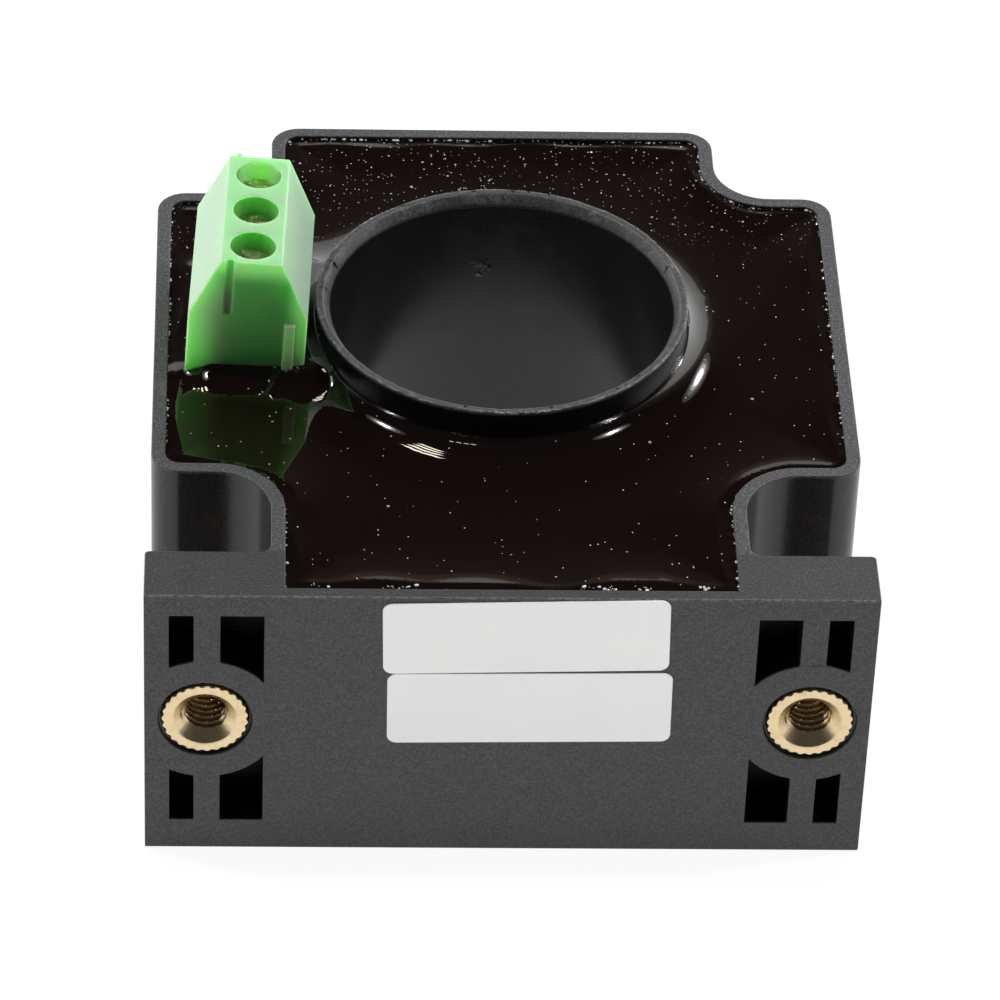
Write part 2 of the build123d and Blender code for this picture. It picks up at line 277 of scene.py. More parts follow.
screen_levels = [(0.0, (0.80, 0.80, 0.80)), (0.30, (0.72, 0.73, 0.72)), (0.455, (0.58, 0.59, 0.58)),
                 (0.475, (0.17, 0.125, 0.095)), (0.50, (0.15, 0.11, 0.085)), (0.52, (0.05, 0.048, 0.045)),
                 (0.585, (0.036, 0.035, 0.033)), (0.645, (0.010, 0.010, 0.010)), (1.0, (0.02, 0.02, 0.02))]
for place, colour in screen_levels[1:-1]:
    screen.color_ramp.elements.new(place)
for element, (place, colour) in zip(screen.color_ramp.elements, screen_levels):
    element.position = place
    element.color = (*colour, 1)
print("room levels", len(screen_levels))

# %% [markdown]
# Four small lamps, two of them high at the sides and two lower behind, light the object and make the four
# stars on the curved resin. Each hangs in a wide reflector that grows dimmer outwards, built of four discs,
# and so its star gets a tail both ways. Two panels of four short tubes make the groups of cream stripes. A
# lamp's power grows with the square of its distance, so it is written as the share of white that it gives
# to a surface facing it.

# %% Hang the lamps
subject = Vector((0, 0, rim))
lamp_distance, lamp_width, ring_gap = 0.8, 0.042, 0.005
tube_share = 14


def lamp(name, direction, share, width, length=0, shift=(0, 0), colour=(1, 1, 1), behind=0, turn=0):
    """An area lamp that faces the subject: round, or oblong if it has a length."""
    data = bpy.data.lights.new(name, "AREA")
    data.shape = "RECTANGLE" if length else "DISK"
    data.size = length or width
    data.size_y = width
    data.energy = share * (math.pi * lamp_distance) ** 2
    data.color = colour
    made = bpy.data.objects.new(name, data)
    toward = Vector(direction).normalized()
    facing = (-toward).to_track_quat("-Z", "Y")
    made.location = subject + toward * (lamp_distance + behind) + facing @ Vector((*shift, 0))
    made.rotation_euler = (facing @ Quaternion((0, 0, 1), turn)).to_euler()
    scene.collection.objects.link(made)


lamps = {"high_left": ((-0.468, 0.131, 0.874), 0.24), "high_right": ((0.517, 0.058, 0.854), 0.34),
         "low_left": ((-0.523, 0.502, 0.689), 0.13), "low_right": ((0.427, 0.657, 0.621), 0.14)}
reflector_rings = [(0.07, 0.03), (0.105, 0.018), (0.145, 0.0115), (0.19, 0.0095)]
for name, (direction, share) in lamps.items():
    lamp(name, direction, share, lamp_width)
    for i, (width, ring_share) in enumerate(reflector_rings, 1):
        lamp(f"{name}_reflector_{i}", direction, ring_share, width, behind=ring_gap * i)
cream = (1.0, 0.90, 0.72)
panels = {"back": ((-0.16, 0.33, 0.93), (0.042, 0.048), 0.092, 0.02, 0),
          "over": ((-0.21, -0.30, 0.93), (0.034, 0.008), 0.024, 0.012, 0.8)}
for panel, (direction, step, length, width, turn) in panels.items():
    for i in range(4):
        shift = ((i - 1.5) * step[0], (i - 1.5) * step[1])
        share = tube_share * length * width
        lamp(f"tube_{panel}_{i}", direction, share, width, length, shift, cream, turn=turn)

# %% [markdown]
# ## The table
# The sensor lies on a white surface. A floor that is only lit would come out grey, and more light would
# spoil the object's colours. So the floor also glows white towards the camera and in reflections, and only
# part of what is seen comes from the lamps. That keeps a faint shadow under the plate.

# %% Lay the white floor
floor_half, floor_gap, own_glow = 3.0, 0.02 * mm, 0.86
floor_mesh = bpy.data.meshes.new("floor")
corners = [(x * floor_half, y * floor_half, 0) for x, y in ((-1, -1), (1, -1), (1, 1), (-1, 1))]
floor_mesh.from_pydata(corners, [], [(0, 1, 2, 3)])
floor = bpy.data.objects.new("floor", floor_mesh)
floor.location.z = -floor_gap
scene.collection.objects.link(floor)

white = (1, 1, 1)
table = Finish("white_table", (0.9, 0.9, 0.9), 0.7, Specular_IOR_Level=0.0,
               Emission_Color=white, Emission_Strength=0.5)
rays = table.node("LightPath").outputs
seen = Value(table, rays["Is Camera Ray"]) | rays["Is Glossy Ray"] | rays["Is Transmission Ray"]
glow = table.node("Emission", Color=white, Strength=1.0)
both = table.node("MixShader", seen * own_glow, table.shader.outputs[0], glow.outputs[0])
table.feed(table.tree.nodes["Material Output"].inputs["Surface"], both.outputs[0])
floor_mesh.materials.append(table.material)
print("floor", 2 * floor_half, "m wide")

# %% [markdown]
# ## Softened copies of engineering pieces
# The engineering mesh has the right shape but razor-sharp edges, and real mouldings have none. A copy of
# the node is welded, its flat faces are joined again, and a Bevel modifier rounds what is left of the sharp
# edges. Weighted normals then keep the large faces flat beside the small round ones. The frame's own mesh
# isn't touched: the copy replaces it.

# %% Helpers that make and place pieces
weld_distance, flat_angle, sharp_angle = 0.5e-6, math.radians(0.5), math.radians(35)


def make_piece(name, mesh, finish, body="sensor", replaces=()):
    """A mesh as a piece of the object: finished, riding on a body and standing for some nodes."""
    mesh.materials.clear()
    mesh.materials.append(finish.material)
    made = bpy.data.objects.new(name, mesh)
    scene.collection.objects.link(made)
    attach(made, body)
    if replaces:
        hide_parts(*replaces)
    return made


def settle(made):
    """Applies an object's modifiers to its mesh."""
    graph = bpy.context.evaluated_depsgraph_get()
    settled = made.evaluated_get(graph)
    mesh = bpy.data.meshes.new_from_object(settled, preserve_all_data_layers=True, depsgraph=graph)
    made.modifiers.clear()
    made.data = mesh


def welded(node):
    """A node's mesh as a bmesh, welded, with flat neighbours joined."""
    shape = bmesh.new()
    shape.from_mesh(nodes[node].data)
    bmesh.ops.remove_doubles(shape, verts=shape.verts, dist=weld_distance)
    bmesh.ops.dissolve_limit(shape, angle_limit=flat_angle, verts=shape.verts, edges=shape.edges)
    return shape


def smooth_mesh(name, shape):
    """A smoothly shaded mesh from a bmesh, which is freed."""
    mesh = bpy.data.meshes.new(name)
    shape.to_mesh(mesh)
    shape.free()
    mesh.shade_smooth()
    return mesh


def skin(shape, rows, closed=False):
    """Faces between rings of points; closed joins the last ring to the first."""
    for row, ahead in zip(rows, rows[1:] + (rows[:1] if closed else [])):
        for k in range(len(row)):
            j = (k + 1) % len(row)
            shape.faces.new((row[k], row[j], ahead[j], ahead[k]))


def soften(name, shape, radius, finish, body="sensor", replaces=()):
    """A piece from a bmesh with its sharp edges rounded to about that radius."""
    made = make_piece(name, smooth_mesh(name, shape), finish, body, replaces)
    bevel = made.modifiers.new("soft", "BEVEL")
    bevel.width = radius
    bevel.segments = 2
    bevel.limit_method = "ANGLE"
    bevel.angle_limit = sharp_angle
    bevel.use_clamp_overlap = False
    made.modifiers.new("even", "WEIGHTED_NORMAL").keep_sharp = True
    settle(made)
    print(name, "faces", len(made.data.polygons))


# %% [markdown]
# ## The housing's plastic
# The box is moulded in slate-black plastic, and the mould has given it a fine grain. Two noises vary the colour,
# and the finer one is the grain itself as a bump. Faces that lie flat at the rim's height get a painted sparkle of
# paler specks, and the top of the mounting plate is painted darker, as painted shade. Dust lies over the plastic
# as well.

# %% Write the housing's plastic
plastic = Finish("housing_plastic", (0.05, 0.05, 0.056), 0.42, Specular_IOR_Level=0.45)
x, y, z = plastic.axes()
from_axis, depth = x.hypot(y), y - plate_front
on_top = z.ramp(rim - 0.12 * mm, rim - 0.02 * mm) * z.ramp(rim + 0.5 * mm, rim + 0.2 * mm)
plate_top = on_top * depth.ramp(plate_thickness + 0.2 * mm, plate_thickness)
# painted sparkle: paler specks on the flat faces at the rim's height
painted_sparkle = plastic.noise(0.2 * mm, 2.0).ramp(0.5, 0.75) * on_top
fine = plastic.noise(0.16 * mm, 1.5)
grain_and_painted_light = fine.ramp(0.32, 0.72).mix((0.024, 0.024, 0.027), (0.066, 0.066, 0.071))
grain_and_painted_light = painted_sparkle.mix(grain_and_painted_light, (0.15, 0.15, 0.18))
# painted shade: the top of the mounting plate is made darker
grain_and_painted_light = (plate_top * 0.58).mix(grain_and_painted_light, (0.010, 0.010, 0.014))
dust = plastic.specks(1.9 * mm, 0.13 * mm, 0.10)
print("plain plastic", len(plastic.tree.nodes), "nodes")

# %% [markdown]
# Cut edges are paler than the moulded skin: the burr along the plate's top front edge, and the mouth and rim of
# the tube, where the moulding was trimmed. In the pockets and deep in the bore hardly any light arrives, so
# painted shade makes the plastic there darker; it is also shinier there, and no dust lies there. The body's side
# walls came off a polished part of the mould and the tube's outside is wet with resin, so both are smoother too.
# Both are darkened as well: the side walls with painted shade, and the tube's outside partly by its film of resin
# and partly with painted shade. The bore also has a small rough rosette high on its far side, where the mould was
# filled.

# %% Add wear, shade and the gate mark
scratches = plastic.noise(0.35 * mm, 4.0).ramp(0.42, 0.62)
patchy = plastic.noise(2.4 * mm, 2.0).ramp(0.35, 0.65) * 0.75 + 0.25
burr = depth.ramp(0.22 * mm, 0.06 * mm) * z.ramp(rim - 0.18 * mm, rim - 0.05 * mm) * (scratches * 0.5 + 0.25)
chamfer = z.ramp(tube_top - 1.05 * mm, tube_top - 0.9 * mm) * patchy
chamfer = chamfer * z.ramp(tube_top - 0.05 * mm, tube_top - 0.15 * mm)
chamfer = chamfer * from_axis.ramp(tube_radius + 0.02 * mm, tube_radius - 0.06 * mm)
outer_edge = z.ramp(tube_top - 0.22 * mm, tube_top - 0.12 * mm) * patchy
outer_edge = outer_edge * from_axis.ramp(tube_radius - 0.24 * mm, tube_radius - 0.12 * mm)
pale = burr * 0.45 | chamfer * (scratches * 0.17 + 0.03) | outer_edge * (scratches * 0.6 + 0.05)
edged = pale.mix(grain_and_painted_light, (0.36, 0.37, 0.39))

in_bore = from_axis.ramp(bore_radius + 0.25 * mm, bore_radius + 0.1 * mm)
in_bore = in_bore * z.ramp(tube_top - 0.95 * mm, tube_top - 1.15 * mm)
in_pocket = depth.ramp(0.12 * mm, 0.3 * mm) * depth.ramp(5.2 * mm, 5.0 * mm)
pocket_middle, pocket_half = (24.08 * mm, 14.2 * mm), (3.97 * mm, 11.15 * mm)
for across, middle, half in zip((abs(x), z), pocket_middle, pocket_half):
    in_pocket = in_pocket * abs(across - middle).ramp(half, half - 0.07 * mm)
wet_and_shaded = from_axis.ramp(tube_radius - 0.04 * mm, tube_radius - 0.01 * mm)
wet_and_shaded = wet_and_shaded * from_axis.ramp(tube_radius + 0.15 * mm, tube_radius + 0.1 * mm)
wet_and_shaded = wet_and_shaded * z.ramp(tube_top - 0.2 * mm, tube_top - 0.45 * mm)
side_wall = depth.ramp(plate_thickness + 0.05 * mm, plate_thickness + 0.15 * mm)
side_wall = side_wall * z.ramp(rim - 0.1 * mm, rim - 0.3 * mm) * from_axis.ramp(17 * mm, 18 * mm)
# painted shade: the bore, the pockets, the side walls and the wet tube are darkened
shaded = in_bore * 0.85 | in_pocket | wet_and_shaded | side_wall * 0.72

gate_mark = (-1.35 * mm, bore_radius, 23.2 * mm)
from_gate = plastic.value("VectorMath", plastic.place, gate_mark, operation="DISTANCE", output="Value")
rosette = from_gate.ramp(1.1 * mm, 0.6 * mm) * plastic.noise(0.45 * mm, 3.0).ramp(0.4, 0.6)
# painted shade: the shaded parts take a near-black colour
coloured = (rosette * 0.5).mix(shaded.mix(edged, (0.006, 0.006, 0.0075)), (0.06, 0.055, 0.05))
rough = plastic.noise(2.5 * mm, 3.0) * 0.14 + 0.36 + pale * 0.2
smooth = in_bore * 0.20 + (wet_and_shaded * 3.1 | side_wall * 1.5) * 0.12
plastic.set(Base_Color=(dust - shaded).mix(coloured, (0.62, 0.62, 0.60)), Roughness=rough - smooth)
plastic.bump(fine * ((in_bore | side_wall) * -0.8 + 1.0) + pale * 2.0 + rosette * 5.0, 0.025 * mm)
print("housing plastic", len(plastic.tree.nodes), "nodes")

# %% [markdown]
# ## The housing
# The housing is one moulding, so it stays one piece. Only the tube's mouth was trimmed by hand and is
# ragged, and the tube's own faces are too long and too few to show that. So they are cut out, and a profile
# is swept round the axis in fine steps in their place: up the bore, over the rounded rim and down the
# outside. Noise shakes the rows at the rim, from a fixed seed so that each run gives the same rim, and two
# bridges join the sweep to the housing's floor.

# %% Describe the tube's profile
mouth_width, mouth_depth, rim_round = 0.55 * mm, 0.9 * mm, 0.12 * mm


def tube_profile():
    """Radius, depth below the rim and raggedness of each row of the sweep."""
    inner, outer = bore_radius + mouth_width, tube_radius
    rows = [(bore_radius, tube_top - 1.0 * mm, 0), (bore_radius, mouth_depth + 0.2 * mm, 0),
            (bore_radius + 0.02 * mm, mouth_depth, 0.4),
            (bore_radius + 0.08 * mm, mouth_depth - 0.13 * mm, 0.4),
            (inner - 0.05 * mm, 0.10 * mm, 0.7), (inner + 0.035 * mm, 0.02 * mm, 1),
            (inner + 0.11 * mm, 0, 1)]
    for a in (0, 0.52, 1.05, 1.57):
        rows.append((outer - rim_round * (1 - math.sin(a)), rim_round * (1 - math.cos(a)), 1))
    return rows + [(outer, 0.5 * mm, 0), (outer, tube_top - 1.7 * mm, 0)]


# %% Shape and soften the housing
sweep_steps, ragged, rim_seed = 540, 0.055 * mm, 1
housing_shape = welded("housing")
reach = tube_radius + 0.02 * mm
tube_faces = [f for f in housing_shape.faces if all(v.co.xy.length < reach for v in f.verts)]
bmesh.ops.delete(housing_shape, geom=tube_faces, context="FACES")
open_edges = [e for e in housing_shape.edges if e.is_boundary]
noise.seed_set(rim_seed)
grid = []
for radius, below, amount in tube_profile():
    row = []
    for k in range(sweep_steps):
        turn = 2 * math.pi * k / sweep_steps
        spot = Vector((radius * math.cos(turn), radius * math.sin(turn), tube_top - below))
        shake = noise.noise_vector(spot / (1.1 * mm)) + 0.6 * noise.noise_vector(spot / (0.45 * mm))
        spot.xy *= 1 + amount * ragged * shake.x / radius
        spot.z -= amount * ragged * 1.6 * abs(shake.z)
        row.append(housing_shape.verts.new(spot))
    grid.append(row)
skin(housing_shape, grid)
for row, end_radius in ((grid[0], bore_radius), (grid[-1], tube_radius)):
    loop = [e for e in open_edges if abs(e.verts[0].co.xy.length - end_radius) < 0.02 * mm]
    ring = [housing_shape.edges.get((row[k], row[k - 1])) for k in range(sweep_steps)]
    bmesh.ops.bridge_loops(housing_shape, edges=loop + ring)
bmesh.ops.recalc_face_normals(housing_shape, faces=housing_shape.faces)
print("tube faces cut out", len(tube_faces))
print("open edges left", sum(e.is_boundary for e in housing_shape.edges))
soften("housing_moulding", housing_shape, 0.12 * mm, plastic, replaces=["housing"])

# %% [markdown]
# ## The resin
# Cast resin wets whatever it touches and is drawn up there in a hollow curve, a meniscus. Seen in a black
# mirror those curves are most of the picture, so the resin gets its own mesh. A height function adds a
# curve near the tube, the walls and the block, and the mesh is a triangulation of points that lie closer
# together near those edges. Its normals come from the same height function, so that reflections stay
# smooth.

# %% Outlines of the resin's top
def rounded_loop(corners, radii, spacing):
    """Points round an outline whose right-angled corners are rounded."""
    points = []
    for i, (corner, radius) in enumerate(zip(corners, radii)):
        corner = np.array(corner)
        back = np.array(corners[i - 1]) - corner
        ahead = np.array(corners[(i + 1) % len(corners)]) - corner
        back, ahead = back / np.linalg.norm(back), ahead / np.linalg.norm(ahead)
        steps = max(1, round(radius * math.pi / 2 / spacing)) if radius > 0 else 0
        centre = corner + (back + ahead) * radius
        arc = [k / steps * math.pi / 2 for k in range(steps + 1)] if steps else [0]
        points += [centre - ahead * radius * math.cos(a) - back * radius * math.sin(a) for a in arc]
    filled = []
    for here, there in zip(points, points[1:] + points[:1]):
        count = max(1, round(np.linalg.norm(there - here) / spacing))
        filled += [here + (there - here) * k / count for k in range(count)]
    return np.array(filled)


def inner_wall(inset, spacing):
    """The plus-shaped inside of the housing, moved in by inset from its outside."""
    arm, span, front = half_arm - inset, half_span - inset, plate_front + inset
    tip, notch = max(tip_radius - inset, 0), notch_radius + inset
    corners = [(-arm, front), (arm, front), (arm, -arm), (span, -arm), (span, arm), (arm, arm),
               (arm, span), (-arm, span), (-arm, arm), (-span, arm), (-span, -arm), (-arm, -arm)]
    radii = [0, 0, notch, tip, tip, notch, tip, tip, notch, tip, tip, notch]
    return rounded_loop(corners, radii, spacing)


def tube_loop(radius, spacing):
    count = round(2 * math.pi * radius / spacing)
    turn = np.arange(count) * 2 * math.pi / count
    return np.stack([np.cos(turn), np.sin(turn)], 1) * radius


rib_middle, rib_half, rib_proud = 3.6 * mm, 0.47 * mm, 0.45 * mm


def block_foot(outset, spacing):
    """The block's outline at the resin's level, with the rib on its front end, moved out by outset."""
    u, v = block_width / 2 + outset, block_length / 2 + outset
    left, right, tip = rib_middle - rib_half - outset, rib_middle + rib_half + outset, v + rib_proud
    corners = [(-u, -v), (left, -v), (left, -tip), (right, -tip), (right, -v), (u, -v), (u, v), (-u, v)]
    radii = [max(outset, 0)] + [0] * 4 + [max(outset, 0)] * 3
    rise = (resin_level - block_origin.z) / block_w.z
    flat = [block_point(a, b, rise) for a, b in rounded_loop(corners, radii, spacing)]
    return np.array([(p.x, p.y) for p in flat])


edge_spacing = 0.35 * mm
overlap = 0.05 * mm
wall_loop = inner_wall(wall - overlap, edge_spacing)
hole_loop = tube_loop(tube_radius - overlap, edge_spacing)
foot_loop = block_foot(-2 * overlap, edge_spacing)
print("points on the outlines", len(wall_loop), len(hole_loop), len(foot_loop))

# %% [markdown]
# ## How high the resin stands
# The distance to each outline decides how far the resin is drawn up. An exponential falls off as a real
# meniscus does. At the housing's wall the resin shrank back as it set, so it ends in a bead: it rises to a
# ridge and falls again towards the wall. The ridge wanders with slow noise, which makes the wavy black band
# along the front, and quick noise makes the small sparks along the walls. Resin climbs less where there is
# little of it, between the block and the side wall, and on a narrow rib. In front of the block it stands as
# a broad skirt of nearly even slope, which mirrors the dark room above and parts the block from its own
# reflection.

# %% The resin's height function
tube_climb, tube_reach = 1.50 * mm, 1.35 * mm
block_climb, block_reach = 1.10 * mm, 1.85 * mm
skirt_slope, skirt_reach, skirt_round, skirt_turn = 0.48, 3.0 * mm, 0.35 * mm, 1.5 * mm
foot_climb, foot_reach, left_loss, rib_loss = 0.12 * mm, 0.35 * mm, 0.78, 0.10
wall_climb, wall_reach = 0.275 * mm, 2.2 * mm
ridge_nearest, ridge_farthest, ridge_round = 0.5 * mm, 1.4 * mm, 0.12 * mm
creep_climb, creep_reach = 0.11 * mm, 0.30 * mm


def distance_to(points, loop):
    """The distance from each point to a closed outline."""
    start, step = loop, np.roll(loop, -1, axis=0) - loop
    length = (step ** 2).sum(1)
    nearest = np.empty(len(points))
    for i in range(0, len(points), 2000):
        part = points[i:i + 2000, None]
        along = np.clip(((part - start) * step).sum(2) / length, 0, 1)
        gap = part - start - step * along[..., None]
        nearest[i:i + 2000] = np.sqrt((gap ** 2).sum(2).min(1))
    return nearest


def uneven(points, size, seed):
    """Smooth noise over the resin, from about -1 to 1, with waves of that size."""
    return np.array([noise.noise(Vector((a / size, b / size, seed))) for a, b in points])


wall_edge = inner_wall(wall, edge_spacing)
foot_edge = block_foot(0, edge_spacing)


def resin_height(points):
    to_tube = np.maximum(np.hypot(points[:, 0], points[:, 1]) - tube_radius, 0)
    to_wall = distance_to(points, wall_edge)
    to_block = distance_to(points, foot_edge)
    slow = 1 + 0.22 * uneven(points, 6 * mm, 5.0)
    creep = np.clip(0.5 + 0.5 * uneven(points, 2.2 * mm, 3.0) + 0.4 * uneven(points, 0.9 * mm, 7.0), 0, 1)
    wander = np.clip(0.5 + 1.1 * uneven(points, 7 * mm, 13.0), 0, 1)
    ridge = ridge_nearest + (ridge_farthest - ridge_nearest) * wander
    from_ridge = np.sqrt((to_wall - ridge) ** 2 + ridge_round ** 2)
    from_block = points - np.array(block_origin.xy)
    u, v = from_block @ np.array(block_u.xy), from_block @ np.array(block_v.xy)
    left = np.clip((-u - 2.6 * mm) / (2.4 * mm), 0, 1)
    rib = np.exp(-((u - rib_middle) / (0.7 * mm)) ** 2) * np.clip((-v - block_length / 2) / rib_proud, 0, 1)
    lower = (1 - left_loss * left) * (1 - rib_loss * rib)
    drawn = block_climb * np.exp(-to_block / (block_reach * (1 - 0.5 * left)))
    skirt = skirt_slope * skirt_round * np.log1p(np.exp((skirt_reach - to_block) / skirt_round))
    skirt += foot_climb * np.exp(-to_block / foot_reach)
    front = np.clip((-v - block_length / 2) / skirt_turn + 1, 0, 1)
    height = resin_level + 0.010 * mm * uneven(points, 9 * mm, 1.0)
    height += tube_climb * np.exp(-to_tube / tube_reach) + lower * (drawn + front * (skirt - drawn))
    height += wall_climb * slow * np.exp(-from_ridge / wall_reach)
    height += creep_climb * creep * np.exp(-to_wall / creep_reach)
    return np.minimum(height, np.where(to_wall < 0.5 * mm, rim - 0.01 * mm, tube_top))


def resin_normals(points):
    """The direction at right angles to the resin's top, from its slope."""
    step = 0.01 * mm
    slope = [(resin_height(points + d) - resin_height(points - d)) / (2 * step) for d in np.eye(2) * step]
    normal = np.stack([-slope[0], -slope[1], np.ones(len(points))], 1)
    return normal / np.linalg.norm(normal, axis=1)[:, None]


# %% [markdown]
# ## The resin's mesh
# Delaunay triangulation turns any cloud of points into well-shaped triangles, and it keeps the outlines as
# edges. Rings of points follow each outline at growing distances, and a plain grid fills the rest. Walls
# and a floor close the mesh below.

# %% Triangulate the resin
def inside(points, loop):
    """Which points lie inside a closed outline."""
    x, y = points[:, :1], points[:, 1:]
    x0, y0 = loop.T
    x1, y1 = np.roll(loop, -1, axis=0).T
    crosses = (y0 > y) != (y1 > y)
    with np.errstate(divide="ignore", invalid="ignore"):
        left = x < (x1 - x0) * (y - y0) / (y1 - y0) + x0
    return (crosses & left).sum(1) % 2 == 1


def triangulate(loops, extra):
    """Points and triangles of the area inside the first outline and outside the others."""
    points, edges = list(extra), []
    for loop in loops:
        first = len(points)
        edges += [(first + i, first + (i + 1) % len(loop)) for i in range(len(loop))]
        points += list(loop)
    flat = [Vector((a / mm, b / mm)) for a, b in points]
    found, _, faces, _, _, _ = geometry.delaunay_2d_cdt(flat, edges, [], 0, 1e-5)
    found = np.array([(p.x, p.y) for p in found]) * mm
    faces = np.array(faces)
    middle = found[faces].mean(1)
    kept = inside(middle, loops[0])
    for loop in loops[1:]:
        kept &= ~inside(middle, loop)
    return found, faces[kept]


def resin_points():
    """Rings of points beside each outline, and a grid between them."""
    offsets = [0.08 * mm * 1.55 ** k for k in range(9)]
    cloud = [inner_wall(wall + offset, 0.5 * mm) for offset in np.arange(0.08, 1.9, 0.11) * mm]
    for offset in offsets:
        spacing = max(0.45 * mm, offset * 0.9)
        cloud += [tube_loop(tube_radius + offset, spacing), block_foot(offset, spacing)]
    step = 0.9 * mm
    columns, lines = np.arange(-half_span, half_span, step), np.arange(plate_front, half_span, step)
    across, along = np.meshgrid(columns, lines)
    across[::2] += step / 2
    cloud.append(np.stack([across.ravel(), along.ravel()], 1))
    points = np.concatenate(cloud)
    points = points[inside(points, wall_edge) & ~inside(points, foot_edge)]
    clear = np.minimum(distance_to(points, wall_edge), distance_to(points, foot_edge))
    clear = np.minimum(clear, np.hypot(points[:, 0], points[:, 1]) - tube_radius)
    points = points[clear > 0.05 * mm]
    thinned, taken = [], set()
    for p, room in zip(points, np.clip(clear[clear > 0.05 * mm] * 0.3, 0.1 * mm, 0.5 * mm)):
        key = (round(p[0] / room), round(p[1] / room), round(room / (0.1 * mm)))
        if key not in taken:
            taken.add(key)
            thinned.append(p)
    return np.array(thinned)


top_points, top_faces = triangulate([wall_loop, hole_loop, foot_loop], resin_points())
print("resin top", len(top_points), "points", len(top_faces), "triangles")

# %% [markdown]
# The top is joined to straight walls along its three outlines. The outer wall and the tube's wall go down
# to the housing's floor, and the block's socket is shallow, because the resin runs under the block as well.

# %% Build the resin
def build_resin():
    floor_level = wall
    socket_level = block_origin.z + 0.3 * mm
    count = len(top_points)
    points = [(a, b, h) for (a, b), h in zip(top_points, resin_height(top_points))]
    faces = [tuple(f) for f in top_faces]
    base_points, base_faces = triangulate([wall_loop, hole_loop], [])
    socket_points, socket_faces = triangulate([foot_loop], [])
    base, socket = len(points), len(points) + len(base_points)
    points += [(a, b, floor_level) for a, b in base_points] + [(a, b, socket_level) for a, b in socket_points]
    faces += [tuple(base + i for i in f[::-1]) for f in base_faces]
    faces += [tuple(socket + i for i in f) for f in socket_faces]

    def index(cloud, first, p):
        return first + int(((cloud - p) ** 2).sum(1).argmin())

    for loop, cloud, first in ((wall_loop, base_points, base), (hole_loop, base_points, base),
                               (foot_loop, socket_points, socket)):
        high = [index(top_points, 0, p) for p in loop]
        low = [index(cloud, first, p) for p in loop]
        for i in range(len(loop)):
            j = (i + 1) % len(loop)
            faces.append((high[i], low[i], low[j], high[j]))
    mesh = bpy.data.meshes.new("resin")
    mesh.from_pydata(points, [], faces)
    shape = bmesh.new()
    shape.from_mesh(mesh)
    bmesh.ops.recalc_face_normals(shape, faces=shape.faces)
    shape.to_mesh(mesh)
    shape.free()
    mesh.shade_smooth()
    normals = resin_normals(top_points)
    custom = []
    for face in mesh.polygons:
        flat = any(i >= count for i in face.vertices)
        custom += [tuple(face.normal) if flat else tuple(normals[i]) for i in face.vertices]
    mesh.normals_split_custom_set(custom)
    return mesh


# %% [markdown]
# Resin is black-brown and as smooth as glass, and dust lies on it. Its own colour is nearly black, so
# almost everything seen on it is reflection. The dust comes in several sizes and is thickest behind the
# tube.

# %% Write the resin's finish and place it
resin = Finish("potting_resin", (0.0056, 0.0026, 0.0018), 0.03, IOR=1.5)
behind = resin.axes()[1].ramp(9 * mm, 22 * mm)
thick = (resin.specks(0.36 * mm, 0.11 * mm, 0.4) | resin.specks(1.0 * mm, 0.22 * mm, 0.4)) * behind
dust = resin.specks(0.6 * mm, 0.13 * mm, 0.22) | resin.specks(3.1 * mm, 0.28 * mm, 0.35) | thick
resin.set(Base_Color=dust.mix(resin.colour, (0.62, 0.60, 0.56)), Roughness=dust * 0.5 + 0.03)
resin_piece = make_piece("cast_resin", build_resin(), resin, replaces=["potting_compound"])
print("resin faces", len(resin_piece.data.polygons))

# %% [markdown]
# While the resin set, fine bubbles gathered where it meets the wall. Each is a small ball sunk half-way into the
# contact line and coloured nearly white, so they show as rows of bright dots: painted glints that stand in for the
# sparks of light along the wall. Noise along the wall decides how densely they lie, and seven clusters sit on the
# bead behind the mounting plate.

# %% Set bubbles along the wall
def bubble_places(loop, chance, seed):
    """Points of an outline where a bubble sits, in clusters."""
    draw = np.random.default_rng(seed)
    density = np.clip(0.5 + 0.9 * uneven(loop, 5 * mm, 11.0), 0, 1)
    return loop[draw.random(len(loop)) < chance * density]


def bubble_mesh(points, smallest, largest, seed):
    draw = np.random.default_rng(seed)
    shape = bmesh.new()
    heights = resin_height(points)
    for (a, b), h in zip(points, heights):
        radius = smallest + (largest - smallest) * draw.random() ** 3
        spot = Vector((a + 0.05 * mm * draw.normal(), b + 0.05 * mm * draw.normal(), h))
        moved = Matrix.Translation(spot)
        made = bmesh.ops.create_icosphere(shape, subdivisions=1, radius=radius, matrix=moved)
        bmesh.ops.scale(shape, vec=(1, 1, 0.6), space=Matrix.Translation(-spot), verts=made["verts"])
    return smooth_mesh("bubbles", shape)


# painted glint: the bubbles are coloured nearly white so that they show as bright dots
painted_glint_finish = Finish("bubbles_painted_glints", (0.80, 0.81, 0.82), 0.1)
painted_glint_finish.set(Base_Color=painted_glint_finish.noise(0.3 * mm).mix((0.35, 0.35, 0.37), (0.92, 0.92, 0.92)))
along_wall = bubble_places(inner_wall(wall + 0.03 * mm, 0.22 * mm), 0.65, 3)
draw = np.random.default_rng(8)
for middle in (-15.4, -9.9, -8.3, 6.2, 7.7, 10.3, 15.8):
    cluster = [(draw.normal(middle, 0.4) * mm, plate_front + wall + draw.uniform(0.4, 0.9) * mm)
               for _ in range(7)]
    along_wall = np.concatenate([along_wall, cluster])
bubbles = make_piece("bubbles_painted_glints", bubble_mesh(along_wall, 0.05 * mm, 0.22 * mm, 4), painted_glint_finish)
print("bubbles", len(along_wall), "faces", len(bubbles.data.polygons))

# %% [markdown]
# The resin shrank a little as it set and left a low rounded lip on the tube, where its surface had clung.
# The lip is thin in front and thicker at the sides, and its back slope catches the bright screen as a fine
# line.

# %% Lay the lip round the tube
lip_width, lip_rise = 0.17 * mm, 0.08 * mm


